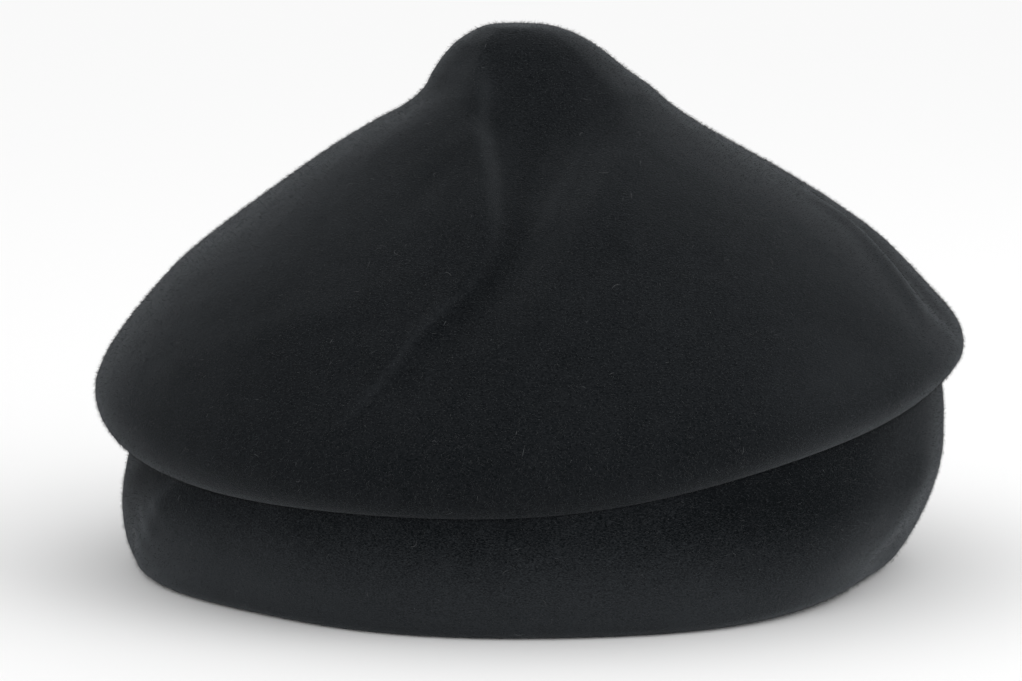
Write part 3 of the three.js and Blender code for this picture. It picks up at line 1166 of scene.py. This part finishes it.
@dataclass(frozen=True)
class VelourFinish:
    """Black velour: patches where the nap lies another way, mottling, a fine grain, and painted highlights
    and shade.

    The tone runs from 0, deep, to 1, raised. Below painted_underlight_from it rises by up to
    painted_underlight_tone at the floor:
    painted light that makes the felt paler towards the floor, for light from below.
    """

    name: str
    deep: tuple[float, ...] = (0.0022, 0.0030, 0.0037, 1)
    raised: tuple[float, ...] = (0.0165, 0.0185, 0.0205, 1)
    tone: float = 0.40
    patch_size: float = 38 * MM
    patch_tone: float = 0.35
    mottle_size: float = 6.5 * MM
    mottle_tone: float = 0.2
    grain_size: float = 0.55 * MM
    grain_flatness: float = 2.0
    grain_tone: float = 2.2
    roughness: float = 0.94
    mottle_gloss: float = 0.2
    sheen: float = 0.17
    sheen_roughness: float = 0.36
    sheen_tint: tuple[float, ...] = (0.88, 0.94, 1.0, 1)
    specular: float = 0.04
    relief_strength: float = 0.8
    grain_height: float = 0.25 * MM
    mottle_relief: float = 0.3
    painted_underlight_from: float = 34 * MM
    painted_underlight_tone: float = 0.0

    def make(self) -> bpy.types.Material:
        """Builds the material.

        Returns:
            The material, which reads the felt's own place and its layer of painted highlights and shade.
        """
        graph = Graph(self.name)
        patches = graph.noise(self.patch_size, detail=2)
        mottle = graph.noise(self.mottle_size, detail=3)
        grain = graph.noise(self.grain_size, detail=2, flatness=self.grain_flatness)
        # The painted highlights and painted shade of the felt's layer, added to its tone.
        layer = graph.add("ShaderNodeAttribute", {"attribute_name": PAINTED_LIGHT_AND_SHADE})
        tone = self.tone + Value(graph, layer.outputs["Fac"])
        tone = tone + self.patch_tone * patches + self.mottle_tone * mottle + self.grain_tone * grain
        # Painted light: the felt's tone rises towards the floor, for light from below.
        if self.painted_underlight_tone:
            place = Value(graph, graph.add("ShaderNodeTexCoord").outputs["Object"])
            height = graph.add("ShaderNodeSeparateXYZ", None, {"Vector": place}).outputs["Z"]
            painted_underlight = graph.add("ShaderNodeMapRange", {"interpolation_type": "SMOOTHSTEP"}, {
                "Value": Value(graph, height), "From Min": self.painted_underlight_from, "From Max": 0.0,
                "To Min": 0.0, "To Max": self.painted_underlight_tone,
            })
            tone = tone + Value(graph, painted_underlight.outputs["Result"])
        bump = graph.add("ShaderNodeBump", None, {
            "Strength": self.relief_strength, "Distance": self.grain_height,
            "Height": grain + self.mottle_relief * mottle,
        })
        surface = graph.add("ShaderNodeBsdfPrincipled", None, {
            "Base Color": graph.blend(tone, self.deep, self.raised),
            "Roughness": self.roughness - self.mottle_gloss * mottle,
            "Specular IOR Level": self.specular,
            "Sheen Weight": self.sheen,
            "Sheen Roughness": self.sheen_roughness,
            "Sheen Tint": self.sheen_tint,
            "Normal": Value(graph, bump.outputs["Normal"]),
        })
        return graph.finish(surface)


@dataclass(frozen=True)
class FibreFinish:
    """One tone of loose fibre."""

    name: str
    colour: tuple[float, ...]
    sheen: float = 0.0

    def make(self) -> bpy.types.Material:
        """Builds the material.

        Returns:
            The material, which is the same all over.
        """
        graph = Graph(self.name)
        surface = graph.add("ShaderNodeBsdfPrincipled", None, {
            "Base Color": self.colour,
            "Roughness": 0.9,
            "Specular IOR Level": 0.1,
            "Sheen Weight": self.sheen,
            "Sheen Roughness": 0.4,
        })
        return graph.finish(surface)


# The nap's tones, in the order of its tone_shares.
NAP_TONES = (
    FibreFinish("nap_deep", (0.021, 0.024, 0.027, 1), 0.13),
    FibreFinish("nap_mid", (0.032, 0.035, 0.039, 1), 0.13),
    FibreFinish("nap_frosted", (0.19, 0.195, 0.20, 1)),
)

LINT_TONE = FibreFinish("lint_pale", (0.105, 0.11, 0.115, 1))


@dataclass
class Studio:
    """The pale floor, the soft light and the camera.

    The camera looks at a point aim_height above the floor, which is aim_column and aim_row in a frame
    of frame_width by frame_height. focal_pixels is its focal length, in widths of a pixel.
    """

    floor_size: float = 40.0
    floor_colour: tuple[float, ...] = (0.90, 0.90, 0.90, 1)
    world_strength: float = 1.05
    distance: float = 1.0
    elevation: float = 8.0
    aim_height: float = 60 * MM
    frame_width: int = 1022
    frame_height: int = 681
    aim_column: float = 529.0
    aim_row: float = 346.0
    focal_pixels: float = 3597.0
    sensor: float = 36.0
    lamp_size: float = 1.2
    lamp_power: float = 5.0
    lamp_place: tuple[float, float, float] = (1.0, -0.6, 0.7)

    def build_floor(self) -> None:
        """Lays the floor under the hat."""
        sheet = bmesh.new()
        bmesh.ops.create_grid(sheet, x_segments=1, y_segments=1, size=self.floor_size / 2)
        mesh = bpy.data.meshes.new("floor")
        sheet.to_mesh(mesh)
        sheet.free()
        floor = bpy.data.objects.new("floor", mesh)
        bpy.context.scene.collection.objects.link(floor)
        graph = Graph("floor_pale")
        mesh.materials.append(graph.finish(graph.add("ShaderNodeBsdfPrincipled", None, {
            "Base Color": self.floor_colour, "Roughness": 1.0, "Specular IOR Level": 0.0,
        })))

    def build_light(self) -> None:
        """Surrounds the hat with even white light, and adds one broad soft lamp on its +X side."""
        world = bpy.data.worlds.new("light_tent")
        world.use_nodes = True
        background = world.node_tree.nodes["Background"]
        background.inputs["Color"].default_value = (1, 1, 1, 1)
        background.inputs["Strength"].default_value = self.world_strength
        bpy.context.scene.world = world
        lamp = bpy.data.lights.new("soft_lamp", "AREA")
        lamp.shape = "DISK"
        lamp.size = self.lamp_size
        lamp.energy = self.lamp_power
        holder = bpy.data.objects.new("soft_lamp", lamp)
        holder.location = self.lamp_place
        aim = Vector((0, 0, self.aim_height)) - holder.location
        holder.rotation_euler = aim.to_track_quat("-Z", "Y").to_euler()
        bpy.context.scene.collection.objects.link(holder)

    def build_camera(self) -> None:
        """Places the camera where the photograph was taken from."""
        camera = bpy.data.cameras.new("camera")
        camera.sensor_width = self.sensor
        camera.lens = self.sensor * self.focal_pixels / self.frame_width
        camera.shift_x = (self.frame_width / 2 - self.aim_column) / self.frame_width
        camera.shift_y = (self.aim_row - self.frame_height / 2) / self.frame_width
        holder = bpy.data.objects.new("camera", camera)
        rise = math.radians(self.elevation)
        back = self.distance * math.cos(rise)
        up = self.distance * math.sin(rise)
        holder.location = (0, -back, self.aim_height + up)
        holder.rotation_euler = (math.pi / 2 - rise, 0, 0)
        bpy.context.scene.collection.objects.link(holder)
        bpy.context.scene.camera = holder
        bpy.context.scene.view_settings.view_transform = "Standard"


@dataclass
class Hat:
    """The whole hat: felt, nap and lint."""

    crown: Crown
    cuff: Cuff
    crown_finish: VelourFinish = VelourFinish("velour_crown")
    # Painted shade darkens the cuff's top under the crown, and painted light makes it paler towards the
    # floor.
    cuff_finish: VelourFinish = VelourFinish(
        "velour_cuff", raised=(0.027, 0.030, 0.033, 1), tone=0.14, painted_underlight_tone=0.76, sheen=0.165,
    )

    @classmethod
    def from_frame(cls) -> "Hat":
        """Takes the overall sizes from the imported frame.

        Returns:
            The hat, not yet built.
        """
        low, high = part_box("crown")
        crown = Crown(width=high.x - low.x, depth=high.y - low.y, height=high.z)
        return cls(crown, Cuff(crown))

    def settle(self, piece: bpy.types.Object, materials: list[bpy.types.Material]) -> None:
        """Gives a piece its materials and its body.

        Args:
            piece: The piece.
            materials: Its materials, in the order that its faces count them.
        """
        for material in materials:
            piece.data.materials.append(material)
        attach(piece, BODY)
        log.info("%s: %d faces", piece.name, len(piece.data.polygons))

    def build(self) -> None:
        """Builds every piece in order."""
        tones = [tone.make() for tone in NAP_TONES]
        lint = [LINT_TONE.make()]

        crown_felt = self.crown.build()
        self.settle(crown_felt, [self.crown_finish.make()])
        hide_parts("crown")
        cuff_felt = self.cuff.build()
        self.settle(cuff_felt, [self.cuff_finish.make()])
        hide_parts("cuff")

        crown_nap = Nap(NapLie.DOWN, (
            NapPatch("crown_nap_right", -45, 45, 33000),
            NapPatch("crown_nap_back", 45, 135, 33000),
            NapPatch("crown_nap_left", 135, 225, 33000),
            NapPatch("crown_nap_front", 225, 315, 33000),
        ), seed=11)
        cuff_nap = Nap(NapLie.ROUND, (
            NapPatch("cuff_nap_back", 0, 180, 21000),
            NapPatch("cuff_nap_front", 180, 360, 21000),
        ), seed=31)
        for nap, felt in ((crown_nap, crown_felt), (cuff_nap, cuff_felt)):
            for number, patch in enumerate(nap.patches):
                self.settle(nap.grow(felt, patch, number), tones)
        self.settle(Lint(seed=51).strew(crown_felt, crown_nap, "crown_lint"), lint)
        self.settle(Lint(seed=71, thread_count=60).strew(cuff_felt, cuff_nap, "cuff_lint"), lint)


def main() -> None:
    """Builds the hat and its studio."""
    logging.basicConfig(level=logging.INFO, format="%(name)s %(message)s")
    Hat.from_frame().build()
    studio = Studio()
    studio.build_floor()
    studio.build_light()
    studio.build_camera()


if __name__ == "__main__":
    main()
